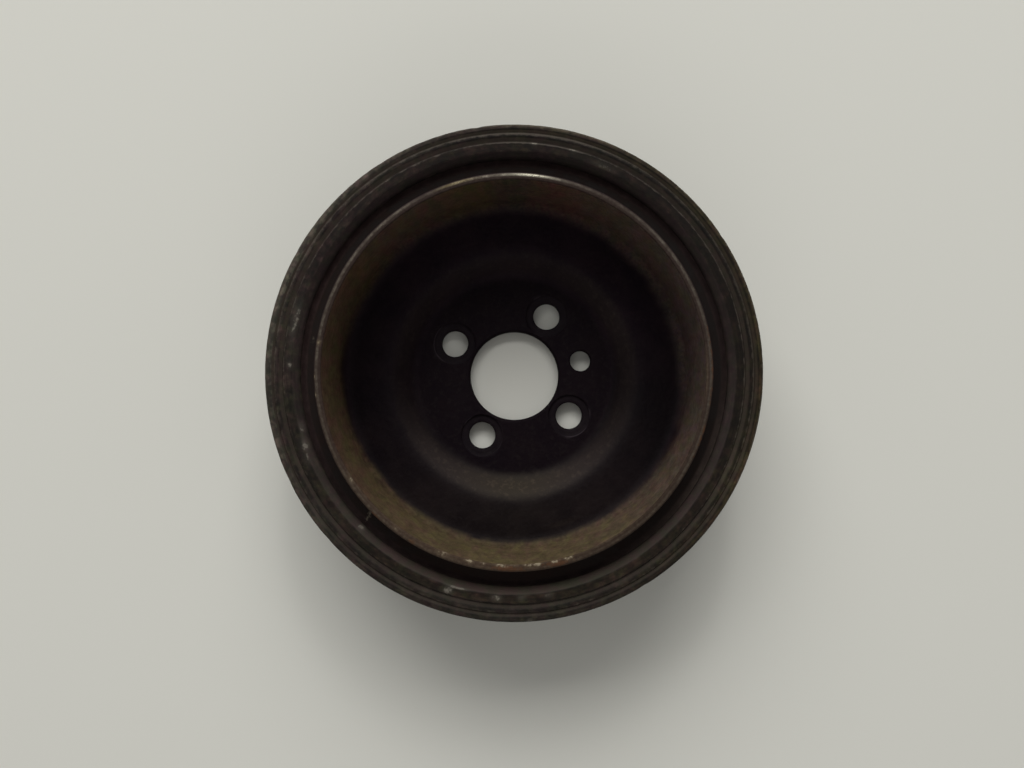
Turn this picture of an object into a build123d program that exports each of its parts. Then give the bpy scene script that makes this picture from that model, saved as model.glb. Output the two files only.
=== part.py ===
"""Crankshaft harmonic balancer: a formed steel hub, a bonded rubber ring and a cast pulley ring.

The origin is the centre of the hub's rear mounting face. +Z runs along the axis, out of the open cup.
The first bolt hole lies on +X and the second on +Y.
"""

from build123d import *
from math import radians, sin, tan
import os

# ---------------------------------------------------------------- pulley ring, from the outside in
flange_diameter = 150.0
ring_thickness = 10.4  # radially, from its bore to the top of the flanges
ring_below_lip = 5.0  # the ring's front face stands this far behind the hub's lip
front_flange_width = 3.6
rear_flange_width = 3.2
flange_chamfer = 0.4
ring_front_chamfer = 2.2  # wide lead-in of the bore, on the front
ring_rear_chamfer = 1.5

# belt track: grooves of a multi-rib belt between the two flanges
belt_grooves = 6
groove_pitch = 3.56
groove_angle = 40.0
groove_depth = 2.9
crest_width = 0.72
flange_height = 2.1  # flange above the crests of the ribs

# two turned grooves in the front face, each with a steep inner wall and a gently sloping outer one
rim_width = 1.45  # left outside the outer face groove, with the flange's chamfer
outer_face_groove_width = 1.4
outer_face_groove_depth = 0.5
ridge_width = 0.95  # flat left between the two face grooves
inner_face_groove_width = 1.8
inner_face_groove_depth = 0.7
face_groove_wall_run = 0.3  # radially, how far a steep inner wall leans out to its foot

# ---------------------------------------------------------------- rubber ring
rubber_thickness = 5.4  # radially, between the hub's wall and the ring's bore
rubber_setback = 0.5  # bonded edges keep this far from the chamfer and from the cup's corner
rubber_end_hollow = 1.3  # how deep each end of the rubber dips between its bonded edges
rubber_end_slope = 1.8  # radially, how far the dip takes to reach its full depth

# ---------------------------------------------------------------- hub
cup_depth = 34.0  # from the lip down to the dished floor
wall_thickness = 2.3
floor_thickness = 3.3
cup_corner_radius = 3.8  # inside the cup, between wall and floor
lip_outer_radius = 1.1
lip_inner_chamfer = 0.5

dish_height = 7.5  # front of the floor above the front of the bolting plate
step_angle = 50.0  # slope between the two, from the plate's plane
step_thickness = 3.8
foot_bend_radius = 4.0  # inside bend at the foot of the slope, on the front
head_bend_radius = 2.5  # inside bend at the head of the slope, on the rear

plate_thickness = 4.5
plate_flat_radius = 32.4  # where the plate's flat front starts to turn up
bore_diameter = 30.0
bore_chamfer = 0.6

bolt_circle_diameter = 46.0
bolt_hole_diameter = 9.0  # medium clearance for an M8 screw
seat_diameter = 14.0
seat_depth = 0.6
square_bolts = 3  # bolts that stand a right angle apart
odd_bolt_angle = 262.3  # short of a right angle, so that the hub fits one way only
dowel_hole_diameter = 7.0

# ---------------------------------------------------------------- places that follow from the sizes
flange_radius = flange_diameter / 2
ring_bore_radius = flange_radius - ring_thickness
wall_outer_radius = ring_bore_radius - rubber_thickness
wall_inner_radius = wall_outer_radius - wall_thickness
cup_outer_corner_radius = cup_corner_radius + wall_thickness

floor_front_z = plate_thickness + dish_height
floor_rear_z = floor_front_z - floor_thickness
lip_z = floor_front_z + cup_depth

crest_radius = flange_radius - flange_height
groove_slope = tan(radians(groove_angle / 2))
crest_gap = groove_pitch - crest_width  # opening of one groove at the height of the crests
root_width = crest_gap - 2 * groove_depth * groove_slope
end_wall_run = flange_height * groove_slope  # the end walls run on at the grooves' angle
track_width = (belt_grooves - 1) * groove_pitch + crest_gap + 2 * end_wall_run

ring_front_z = lip_z - ring_below_lip
track_middle_z = ring_front_z - front_flange_width - track_width / 2
ring_rear_z = track_middle_z - track_width / 2 - rear_flange_width

rubber_front_z = ring_front_z - ring_front_chamfer - rubber_setback
rubber_rear_z = floor_rear_z + cup_outer_corner_radius + rubber_setback

cutter_margin = 1.0  # how far a cutting section stands clear of what it cuts


# ---------------------------------------------------------------- hub
# The plate's front meets the slope at step_foot, and the slope meets the floor at step_head.
# On the rear the same slope lies step_thickness away, square to itself.
step_run_per_rise = 1 / tan(radians(step_angle))
step_foot_radius = plate_flat_radius + foot_bend_radius * tan(radians(step_angle / 2))
step_head_radius = step_foot_radius + dish_height * step_run_per_rise
step_shift = step_thickness / sin(radians(step_angle))
rear_foot_radius = step_foot_radius - plate_thickness * step_run_per_rise + step_shift
rear_head_radius = rear_foot_radius + floor_rear_z * step_run_per_rise

# corners of the section as (radius from the axis, height), each with its own rounding
hub_corners = [
    ((0, 0), 0),
    ((rear_foot_radius, 0), foot_bend_radius + step_thickness),
    ((rear_head_radius, floor_rear_z), head_bend_radius),
    ((wall_outer_radius, floor_rear_z), cup_outer_corner_radius),
    ((wall_outer_radius, lip_z), lip_outer_radius),
    ((wall_inner_radius, lip_z), 0),
    ((wall_inner_radius, floor_front_z), cup_corner_radius),
    ((step_head_radius, floor_front_z), head_bend_radius + step_thickness),
    ((step_foot_radius, plate_thickness), foot_bend_radius),
    ((0, plate_thickness), 0),
]
bolt_angles = [90.0 * i for i in range(square_bolts)] + [odd_bolt_angle]
dowel_angle = (bolt_angles[-1] + 360.0) / 2  # midway between the odd bolt and the first one

with BuildPart() as hub:
    with BuildSketch(Plane.XZ):
        with BuildLine():
            FilletPolyline(
                *[point for point, rounding in hub_corners],
                radius=[rounding for point, rounding in hub_corners],
                close=True,
            )
        make_face()
    revolve(axis=Axis.Z)

    lip_edges = hub.edges().filter_by(GeomType.CIRCLE).group_by(Axis.Z)[-1]
    chamfer(lip_edges.sort_by(SortBy.RADIUS)[0], lip_inner_chamfer)

    Hole(bore_diameter / 2)
    chamfer(hub.edges(Select.LAST).filter_by(GeomType.CIRCLE), bore_chamfer)

    with Locations(Plane.XY.offset(plate_thickness)):
        for angle in bolt_angles:
            with PolarLocations(bolt_circle_diameter / 2, 1, angle):
                CounterBoreHole(bolt_hole_diameter / 2, seat_diameter / 2, seat_depth)
        with PolarLocations(bolt_circle_diameter / 2, 1, dowel_angle):
            Hole(dowel_hole_diameter / 2)

hub.part.label = "hub"


# ---------------------------------------------------------------- rubber ring
with BuildPart() as rubber_ring:
    with BuildSketch(Plane.XZ):
        with BuildLine():
            Polyline(
                (wall_outer_radius, rubber_rear_z),
                (wall_outer_radius + rubber_end_slope, rubber_rear_z + rubber_end_hollow),
                (ring_bore_radius - rubber_end_slope, rubber_rear_z + rubber_end_hollow),
                (ring_bore_radius, rubber_rear_z),
                (ring_bore_radius, rubber_front_z),
                (ring_bore_radius - rubber_end_slope, rubber_front_z - rubber_end_hollow),
                (wall_outer_radius + rubber_end_slope, rubber_front_z - rubber_end_hollow),
                (wall_outer_radius, rubber_front_z),
                close=True,
            )
        make_face()
    revolve(axis=Axis.Z)

rubber_ring.part.label = "rubber_ring"


# ---------------------------------------------------------------- pulley ring
groove_cut_height = flange_height + cutter_margin
cut_widening = groove_cut_height * groove_slope
outer_face_groove_radius = flange_radius - rim_width - outer_face_groove_width
inner_face_groove_radius = outer_face_groove_radius - ridge_width - inner_face_groove_width
face_grooves = [
    (outer_face_groove_radius, outer_face_groove_width, outer_face_groove_depth),
    (inner_face_groove_radius, inner_face_groove_width, inner_face_groove_depth),
]

with BuildPart() as pulley_ring:
    with BuildSketch(Plane.XZ):
        with BuildLine():
            Polyline(
                (ring_bore_radius + ring_rear_chamfer, ring_rear_z),
                (flange_radius, ring_rear_z),
                (flange_radius, ring_front_z),
                (ring_bore_radius + ring_front_chamfer, ring_front_z),
                (ring_bore_radius, ring_front_z - ring_front_chamfer),
                (ring_bore_radius, ring_rear_z + ring_rear_chamfer),
                close=True,
            )
        make_face()
    revolve(axis=Axis.Z)
    flange_edges = pulley_ring.edges().filter_by(GeomType.CIRCLE).group_by(SortBy.RADIUS)[-1]
    chamfer(flange_edges, flange_chamfer)

    # belt track: one groove section repeated at its pitch, and what stands above the crests taken off
    with BuildSketch(Plane.XZ):
        with Locations((crest_radius, track_middle_z)):
            with GridLocations(0, groove_pitch, 1, belt_grooves):
                Polygon(
                    (-groove_depth, -root_width / 2),
                    (groove_cut_height, -crest_gap / 2 - cut_widening),
                    (groove_cut_height, crest_gap / 2 + cut_widening),
                    (-groove_depth, root_width / 2),
                    align=None,
                )
            Rectangle(
                groove_cut_height,
                (belt_grooves - 1) * groove_pitch,
                align=(Align.MIN, Align.CENTER),
            )
    revolve(axis=Axis.Z, mode=Mode.SUBTRACT)

    # face grooves: steep inner wall, gently sloping outer wall
    with BuildSketch(Plane.XZ):
        for start, width, depth in face_grooves:
            with Locations((start, ring_front_z)):
                Polygon(
                    (0, cutter_margin),
                    (0, 0),
                    (face_groove_wall_run, -depth),
                    (width, 0),
                    (width, cutter_margin),
                    align=None,
                )
    revolve(axis=Axis.Z, mode=Mode.SUBTRACT)

pulley_ring.part.label = "pulley_ring"


# ---------------------------------------------------------------- files
os.makedirs("parts", exist_ok=True)
export_step(hub.part, "parts/hub.step")
export_step(rubber_ring.part, "parts/rubber_ring.step")
export_step(pulley_ring.part, "parts/pulley_ring.step")
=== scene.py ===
"""Harmonic balancer: the visual model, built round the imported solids.

Sections are written in millimetres as (radius, height) in the solids' own frame: the axis is +Z,
the hub's rear face lies at height 0 and the cup opens upwards. Angles called "seen" are counted
anticlockwise from the right as the open cup is looked at, with its first bolt hole at the top right.
"""

import bpy
import numpy as np
from mathutils import Matrix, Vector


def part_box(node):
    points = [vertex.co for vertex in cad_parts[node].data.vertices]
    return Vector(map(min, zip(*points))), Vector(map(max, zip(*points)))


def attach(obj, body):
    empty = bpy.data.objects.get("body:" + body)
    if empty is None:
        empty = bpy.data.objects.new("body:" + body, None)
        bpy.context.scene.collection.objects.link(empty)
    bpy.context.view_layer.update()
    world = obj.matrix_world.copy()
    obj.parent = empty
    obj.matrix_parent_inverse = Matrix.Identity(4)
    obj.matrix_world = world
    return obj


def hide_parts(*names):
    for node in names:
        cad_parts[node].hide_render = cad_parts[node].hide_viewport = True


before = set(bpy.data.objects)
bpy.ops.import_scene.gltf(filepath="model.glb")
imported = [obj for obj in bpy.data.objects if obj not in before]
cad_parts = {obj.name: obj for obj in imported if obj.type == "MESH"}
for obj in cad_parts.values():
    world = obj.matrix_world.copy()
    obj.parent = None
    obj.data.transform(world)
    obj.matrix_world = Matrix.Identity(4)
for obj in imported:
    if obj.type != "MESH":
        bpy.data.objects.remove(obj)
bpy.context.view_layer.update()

MM = 0.001
SEEN_TURN = 61.5  # degrees from the solids' own angle to the angle as seen


# ------------------------------------------------------------------ sizes, in millimetres
def radius_and_ends(node):
    """A node's outer radius, its rear and its front, from its box, to a thousandth."""
    low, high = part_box(node)
    return [round(value / MM, 3) for value in (high[0], low[2], high[2])]


WALL_RADIUS, _, LIP_TOP = radius_and_ends("hub")
RING_BORE, RUBBER_REAR, RUBBER_FRONT = radius_and_ends("rubber_ring")
RIM_RADIUS, RING_REAR, RING_FRONT = radius_and_ends("pulley_ring")

WALL_THICKNESS = 2.3
WALL_INNER = WALL_RADIUS - WALL_THICKNESS
FLOOR_REAR, FLOOR_FRONT = 8.7, 12.0
# radii where the slope between plate and floor starts and ends, on the rear and on the front
FOOT_REAR, HEAD_REAR = 35.45, 42.75
FOOT_FRONT, HEAD_FRONT = 34.265, 40.559
PLATE_FRONT = 4.5
BORE, BORE_CHAMFER = 15.0, 0.6

# belt track: even grooves between two flanges, whose walls run on at the grooves' slope
BELT_GROOVES, GROOVE_PITCH, GROOVE_DEPTH, CREST_WIDTH = 6, 3.56, 2.9, 0.72
FRONT_FLANGE, FLANGE_HEIGHT = 3.6, 2.1
GROOVE_SLOPE = np.tan(np.radians(20.0))
CREST_RADIUS = RIM_RADIUS - FLANGE_HEIGHT
ROOT_RADIUS = CREST_RADIUS - GROOVE_DEPTH
GROOVE_OPENING = GROOVE_PITCH - CREST_WIDTH
ROOT_WIDTH = round(GROOVE_OPENING - 2 * GROOVE_DEPTH * GROOVE_SLOPE, 3)
FLANGE_RUN = FLANGE_HEIGHT * GROOVE_SLOPE
TRACK_WIDTH = (BELT_GROOVES - 1) * GROOVE_PITCH + GROOVE_OPENING + 2 * FLANGE_RUN
TRACK_MIDDLE = round(RING_FRONT - FRONT_FLANGE - TRACK_WIDTH / 2, 3)

REAR_CHAMFER, FRONT_CHAMFER = 1.5, 2.2  # of the ring's bore


# ------------------------------------------------------------------ sections carried round the axis
def arc_between(start, centre, turn, arc_step):
    """Arc from start round centre by turn radians, in two steps or more of at most arc_step degrees."""
    steps = max(2, int(np.ceil(np.degrees(abs(turn)) / arc_step)))
    swing = np.linspace(0, turn, steps + 1)[:, None]
    arm = start - centre
    return centre + arm * np.cos(swing) + np.array([-arm[1], arm[0]]) * np.sin(swing)


def rounded_section(corners, spacing, arc_step):
    """Closed section through corners, rows of (radius, height, rounding), counter-clockwise.

    A corner becomes an arc tangent to both of its runs: it starts rounding * tan(turn / 2) before
    the corner, and its centre lies one rounding square to the run. Straight runs are divided evenly,
    no step longer than spacing. Gives the points, and for each corner the index of its arc's middle.
    """
    here, rounding = corners[:, :2], corners[:, 2]
    inward = here - np.roll(here, 1, 0)
    inward /= np.linalg.norm(inward, axis=1)[:, None]
    onward = np.roll(inward, -1, 0)
    turn = np.arctan2(
        inward[:, 0] * onward[:, 1] - inward[:, 1] * onward[:, 0], (inward * onward).sum(1)
    )
    setback = (rounding * np.tan(np.abs(turn) / 2))[:, None]
    starts, ends = here - inward * setback, here + onward * setback
    left = np.stack([-inward[:, 1], inward[:, 0]], -1)
    centres = starts + left * (rounding * np.sign(turn))[:, None]
    parts, places, count = [], [], 0
    for i in range(len(corners)):
        arc = here[i : i + 1]
        if rounding[i] > 0:
            arc = arc_between(starts[i], centres[i], turn[i], arc_step)
        run = starts[(i + 1) % len(starts)] - ends[i]
        steps = max(1, int(np.ceil(np.linalg.norm(run) / spacing - 1e-6)))
        parts += [arc, ends[i] + run * (np.arange(1, steps) / steps)[:, None]]
        places.append(count + len(arc) // 2)
        count += len(arc) + steps - 1
    return np.concatenate(parts), places


def corner_wear(points, places, strengths, reach):
    """Wear of a section's points: the largest of each corner's strength * exp(-(d / reach)^2).

    d is the distance along the section from the middle of that corner's arc, the shorter way round.
    """
    along = np.concatenate([[0], np.cumsum(np.linalg.norm(np.diff(points, axis=0), axis=1))])
    whole = along[-1] + np.linalg.norm(points[0] - points[-1])
    gap = np.abs(along[:, None] - along[places][None])
    gap = np.minimum(gap, whole - gap)
    return (strengths * np.exp(-((gap / reach) ** 2))).max(1)


def section_normals(points):
    """Unit normals of a closed counter-clockwise section: its central difference, turned clockwise."""
    run = np.roll(points, -1, 0) - np.roll(points, 1, 0)
    run /= np.linalg.norm(run, axis=1)[:, None]
    return np.stack([run[:, 1], -run[:, 0]], -1)


def even_turns(steps):
    """Angles of even steps round the axis, in radians."""
    return np.arange(steps) * 2 * np.pi / steps


def carried_round(points, steps, shift=0.0):
    """Grid (point, step, xyz): the section turned about the axis in even steps.

    Each point is moved along the section's normal by shift, which may differ from step to step.
    """
    turn = even_turns(steps)
    normals = section_normals(points)
    radius = points[:, :1] + normals[:, :1] * shift
    height = points[:, 1:] + normals[:, 1:] * shift
    return np.stack([radius * np.cos(turn), radius * np.sin(turn), height + 0 * turn], -1)


def grid_quads(rows, steps):
    """Quads of a grid closed both ways, (rows, steps, 4) vertex numbers that face outwards."""
    number = np.arange(rows * steps).reshape(rows, steps)
    beside, above = np.roll(number, -1, 1), np.roll(number, -1, 0)
    return np.stack([number, beside, np.roll(above, -1, 1), above], -1)


def made_piece(name, vertices, quads, material, slot, node, **values):
    """A smooth mesh from whole arrays in millimetres, riding on the root and standing for the node.

    values holds one value per vertex under each given name. Vertices that no quad uses are left out.
    """
    vertices, quads = vertices.reshape(-1, 3) * MM, quads.reshape(-1, 4)
    used, renumbered = np.unique(quads, return_inverse=True)
    mesh = bpy.data.meshes.new(name)
    mesh.from_pydata(vertices[used].tolist(), [], renumbered.reshape(-1, 4).tolist())
    mesh.polygons.foreach_set("use_smooth", np.ones(len(mesh.polygons), bool))
    for key, value in values.items():
        attribute = mesh.attributes.new(key, "FLOAT", "POINT")
        attribute.data.foreach_set("value", np.ravel(value)[used].astype(np.float32))
    mesh.materials.append(material)
    piece = bpy.data.objects.new(name, mesh)
    bpy.context.scene.collection.objects.link(piece)
    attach(piece, "root")
    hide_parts(node)
    return piece


def wander(turn, seed, slowest, fastest):
    """Smooth random line round the circle, of about -1 to 1.

    It adds up whole-numbered waves from slowest to fastest, size * cos(wave * turn + phase), with
    normally spread sizes over the root of how many they are, and even phases.
    """
    rng = np.random.default_rng(seed)
    waves = np.arange(slowest, fastest + 1)
    size = rng.normal(size=len(waves)) / np.sqrt(len(waves))
    phase = rng.uniform(0, 2 * np.pi, len(waves))
    return (size[:, None] * np.cos(waves[:, None] * turn + phase[:, None])).sum(0)


def dabs(points, turn, rows):
    """Soft spots on a carried section, (point, step): the sum of strength * exp(-a^2 - b^2).

    Rows are (seen angle, radius, height, reach round, reach across, strength). a is the way round
    the axis over its reach, and b the distance in the section over the other.
    """
    total = np.zeros((len(points), len(turn)))
    for seen, radius, height, reach_round, reach_across, strength in rows:
        away = np.angle(np.exp(1j * (turn - np.radians(seen - SEEN_TURN)))) * radius
        off = np.linalg.norm(points - (radius, height), axis=1)
        across = np.exp(-((off / reach_across) ** 2))[:, None]
        total += strength * across * np.exp(-((away / reach_round) ** 2))
    return total


# ------------------------------------------------------------------ shader wiring
def paint(red, green, blue):
    """Linear colour, with alpha, of a colour written as 0-255 screen values."""
    c = np.array([red, green, blue]) / 255
    linear = np.where(c <= 0.04045, c / 12.92, ((c + 0.055) / 1.055) ** 2.4)
    return (*linear.tolist(), 1.0)


class Wiring:
    """Places nodes in one tree and links them; a given value may be a number, a colour or a socket."""

    def __init__(self, tree):
        self.tree = tree

    def feed(self, made, given):
        for key, value in given.items():
            if isinstance(value, bpy.types.NodeSocket):
                self.tree.links.new(value, made.inputs[key])
            else:
                made.inputs[key].default_value = value
        return made

    def node(self, kind, given=None, **settings):
        made = self.tree.nodes.new("ShaderNode" + kind)
        for key, value in settings.items():
            setattr(made, key, value)
        return self.feed(made, given or {})

    def group(self, tree, **given):
        made = self.tree.nodes.new("ShaderNodeGroup")
        made.node_tree = tree
        return self.feed(made, given).outputs

    def attribute(self, name):
        return self.node("Attribute", attribute_name=name).outputs["Fac"]

    def math(self, operation, *given):
        return self.node("Math", dict(enumerate(given)), operation=operation).outputs[0]

    def times(self, first=1.0, *more):
        """Product of shares, 1 without any."""
        for share in more:
            first = self.math("MULTIPLY", first, share)
        return first

    def vector(self, operation, *given, output=0, **more):
        made = self.node("VectorMath", {**dict(enumerate(given)), **more}, operation=operation)
        return made.outputs[output]

    def noise(self, point, size, detail, rough, seed=None):
        """Cloudy noise of the given size, in another pattern for each seed."""
        scale = self.math("DIVIDE", 1.0, size)
        given = {"Vector": point, "Scale": scale, "Detail": detail, "Roughness": rough}
        if seed is None:
            return self.node("TexNoise", given).outputs[0]
        return self.node("TexNoise", {**given, "W": seed}, noise_dimensions="4D").outputs[0]

    def span(self, value, low, high, start=0.0, end=1.0):
        """Value from low to high, eased to run from start to end."""
        given = {"Value": value, "From Min": low, "From Max": high, "To Min": start, "To Max": end}
        return self.node("MapRange", given, interpolation_type="SMOOTHSTEP").outputs[0]

    def level(self, share, first, second):
        """From the first number to the second, by share."""
        return self.node("Mix", {0: share, 2: first, 3: second}, data_type="FLOAT").outputs[0]

    def mix(self, share, first, second, blend="MIX"):
        """From the first colour to the second, by share."""
        given = {0: share, 6: first, 7: second}
        return self.node("Mix", given, data_type="RGBA", blend_type=blend).outputs[2]

    def over(self, colour, top, *shares):
        """Colour under top, which covers it by the product of the shares."""
        return self.mix(self.times(*shares), colour, top)

    def tinted(self, colour, red, green, blue, *shares):
        """Colour times a factor for each of its channels, by the product of the shares."""
        return self.mix(self.times(*shares), colour, (red, green, blue, 1.0), "MULTIPLY")

    def toned(self, colour, factor, *shares):
        """Colour times factor, by the product of the shares."""
        scale = self.level(self.times(*shares), 1.0, factor)
        return self.vector("SCALE", colour, Scale=scale)


def node_group(name, inputs, outputs):
    """An empty node group with named inputs and outputs: its wiring, its inputs and its outputs."""
    tree = bpy.data.node_groups.new(name, "ShaderNodeTree")
    kinds = {"value": "NodeSocketFloat", "vector": "NodeSocketVector", "colour": "NodeSocketColor"}
    for side, rows in (("INPUT", inputs), ("OUTPUT", outputs)):
        for label, kind in rows.items():
            tree.interface.new_socket(label, in_out=side, socket_type=kinds[kind])
    entry, way_out = tree.nodes.new("NodeGroupInput"), tree.nodes.new("NodeGroupOutput")
    return Wiring(tree), entry.outputs, way_out


# ------------------------------------------------------------------ shared effects
def place_group():
    """Where a point lies on the part: its radius, its height, the way out from the axis, itself."""
    wire, _, out = node_group(
        "place on the part",
        {},
        {"Radius": "value", "Height": "value", "Around": "vector", "Point": "vector"},
    )
    point = wire.vector("SCALE", wire.node("TexCoord").outputs["Object"], Scale=1 / MM)
    flat = wire.vector("MULTIPLY", point, (1, 1, 0))
    places = {
        "Radius": wire.vector("LENGTH", flat, output="Value"),
        "Height": wire.node("SeparateXYZ", {0: point}).outputs["Z"],
        "Around": wire.vector("NORMALIZE", flat),
        "Point": point,
    }
    wire.feed(out, places)
    return wire.tree


def sector_group():
    """Share of a sector: 1 at the seen angle Middle, eased to 0 at Reach degrees to either side."""
    wire, given, out = node_group(
        "sector", {"Around": "vector", "Middle": "value", "Reach": "value"}, {"Share": "value"}
    )
    turned = wire.math("RADIANS", wire.math("SUBTRACT", given["Middle"], SEEN_TURN))
    middle = wire.node("CombineXYZ", {0: wire.math("COSINE", turned), 1: wire.math("SINE", turned)})
    along = wire.vector("DOT_PRODUCT", given["Around"], middle.outputs[0], output="Value")
    away = wire.math("DEGREES", wire.math("ARCCOSINE", along))
    wire.feed(out, {"Share": wire.span(away, 0.0, given["Reach"], 1.0, 0.0)})
    return wire.tree


def band_group():
    """Share of a band: 1 from Low to High, eased to 0 over Fade on both sides."""
    wire, given, out = node_group(
        "band", {"Value": "value", "Low": "value", "High": "value", "Fade": "value"}, {"Share": "value"}
    )
    low, high, fade = given["Low"], given["High"], given["Fade"]
    rising = wire.span(given["Value"], wire.math("SUBTRACT", low, fade), low)
    falling = wire.span(given["Value"], high, wire.math("ADD", high, fade), 1.0, 0.0)
    wire.feed(out, {"Share": wire.times(rising, falling)})
    return wire.tree


def patches_group():
    """Irregular patches of about Size millimetres over a share Cover, their edges as soft as Edge."""
    wire, given, out = node_group(
        "patches",
        {"Point": "vector", "Size": "value", "Cover": "value", "Edge": "value", "Seed": "value"},
        {"Mask": "value"},
    )
    noise = wire.noise(given["Point"], given["Size"], detail=5.0, rough=0.6, seed=given["Seed"])
    cut = wire.math("MULTIPLY_ADD", given["Cover"], -0.5, 0.75)
    low, high = wire.math("SUBTRACT", cut, given["Edge"]), wire.math("ADD", cut, given["Edge"])
    wire.feed(out, {"Mask": wire.span(noise, low, high)})
    return wire.tree


def turning_group():
    """Marks left by the lathe: noise drawn out round the axis, Lines to the millimetre across the cut.

    Sway says how fast the noise changes on the way round.
    """
    wire, given, out = node_group(
        "turning marks",
        {"Radius": "value", "Height": "value", "Around": "vector", "Lines": "value", "Sway": "value"},
        {"Mark": "value"},
    )
    split = wire.node("SeparateXYZ", {0: given["Around"]})
    drawn_out = wire.node(
        "CombineXYZ",
        {
            0: wire.times(split.outputs[0], given["Sway"]),
            1: wire.times(split.outputs[1], given["Sway"]),
            2: wire.times(given["Radius"], given["Lines"]),
        },
    ).outputs[0]
    rise = wire.times(given["Height"], given["Lines"])
    wire.feed(out, {"Mark": wire.noise(drawn_out, 1.0, detail=4.0, rough=0.65, seed=rise)})
    return wire.tree


def grain_group():
    """Fine rough grain of a sprayed coat or a casting, Size millimetres across."""
    wire, given, out = node_group("grain", {"Point": "vector", "Size": "value"}, {"Grain": "value"})
    wire.feed(out, {"Grain": wire.noise(given["Point"], given["Size"], detail=6.0, rough=0.7)})
    return wire.tree


def broken_group():
    """A placed mark with a broken outline: Amount, pushed up and down by noise of Size millimetres.

    Rough says how far it is pushed; the mark shows where it passes a half.
    """
    wire, given, out = node_group(
        "broken mark",
        {"Amount": "value", "Point": "vector", "Size": "value", "Rough": "value"},
        {"Mask": "value"},
    )
    noise = wire.noise(given["Point"], given["Size"], detail=5.0, rough=0.65)
    pushed = wire.math("MULTIPLY_ADD", wire.math("SUBTRACT", noise, 0.5), given["Rough"], given["Amount"])
    shown = wire.span(pushed, 0.25, 0.75)
    wire.feed(out, {"Mask": wire.times(shown, wire.span(given["Amount"], 0.02, 0.25))})
    return wire.tree


def tinge_group():
    """A colour that drifts between a reddish and an olive cast, by Share, in clouds of Size millimetres."""
    wire, given, out = node_group(
        "tinge",
        {"Colour": "colour", "Point": "vector", "Size": "value", "Seed": "value", "Share": "value"},
        {"Colour": "colour"},
    )
    noise = wire.noise(given["Point"], given["Size"], detail=3.0, rough=0.6, seed=given["Seed"])
    cast = wire.mix(wire.span(noise, 0.36, 0.64), (1.14, 0.92, 1.02, 1.0), (0.95, 1.04, 0.88, 1.0))
    wire.feed(out, {"Colour": wire.mix(given["Share"], given["Colour"], cast, "MULTIPLY")})
    return wire.tree


place = place_group()
sector = sector_group()
band = band_group()
patches = patches_group()
turning = turning_group()
grain = grain_group()
broken = broken_group()
tinge = tinge_group()


# ------------------------------------------------------------------ finishes
class Finish(Wiring):
    """A material of the part: its shader, where a point lies on the part, and the effects there.

    Each shared effect has a method of its own name, which feeds it where the point lies.
    """

    def __init__(self, name, specular):
        self.material = bpy.data.materials.new(name)
        self.material.use_nodes = True
        super().__init__(self.material.node_tree)
        self.shader = self.tree.nodes["Principled BSDF"]
        self.shader.inputs["Specular IOR Level"].default_value = specular
        self.radius, self.height, self.around, self.point = self.group(place)

    def sector(self, middle, reach):
        return self.group(sector, Around=self.around, Middle=middle, Reach=reach)[0]

    def band(self, low, high, fade):
        return self.group(band, Value=self.radius, Low=low, High=high, Fade=fade)[0]

    def patches(self, size, cover, edge, seed, point=None):
        point = self.point if point is None else point
        return self.group(patches, Point=point, Size=size, Cover=cover, Edge=edge, Seed=seed)[0]

    def turning(self, lines, sway):
        here = {"Radius": self.radius, "Height": self.height, "Around": self.around}
        return self.group(turning, **here, Lines=lines, Sway=sway)[0]

    def grain(self, size):
        return self.group(grain, Point=self.point, Size=size)[0]

    def broken(self, amount, size, rough):
        return self.group(broken, Amount=amount, Point=self.point, Size=size, Rough=rough)[0]

    def tinged(self, colour, size, seed, share, point=None):
        point = self.point if point is None else point
        return self.group(tinge, Colour=colour, Point=point, Size=size, Seed=seed, Share=share)[0]

    def plug_in(self, colour, roughness, height, depth, metallic=0.0):
        """Feeds the shader its colour, roughness, metal share and a bump of the given depth in metres."""
        bump = self.node("Bump", {"Height": height, "Distance": depth, "Strength": 1.0}).outputs[0]
        given = {"Base Color": colour, "Roughness": roughness, "Metallic": metallic, "Normal": bump}
        self.feed(self.shader, given)


# casts of the film at the top of the cup, rows of (seen angle, reach, colour)
FILM_CASTS = [
    (148.0, 16.0, paint(74, 62, 36)),
    (105.0, 15.0, paint(74, 66, 34)),
    (76.0, 15.0, paint(82, 46, 47)),
    (90.0, 9.0, paint(42, 48, 42)),
]


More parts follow.
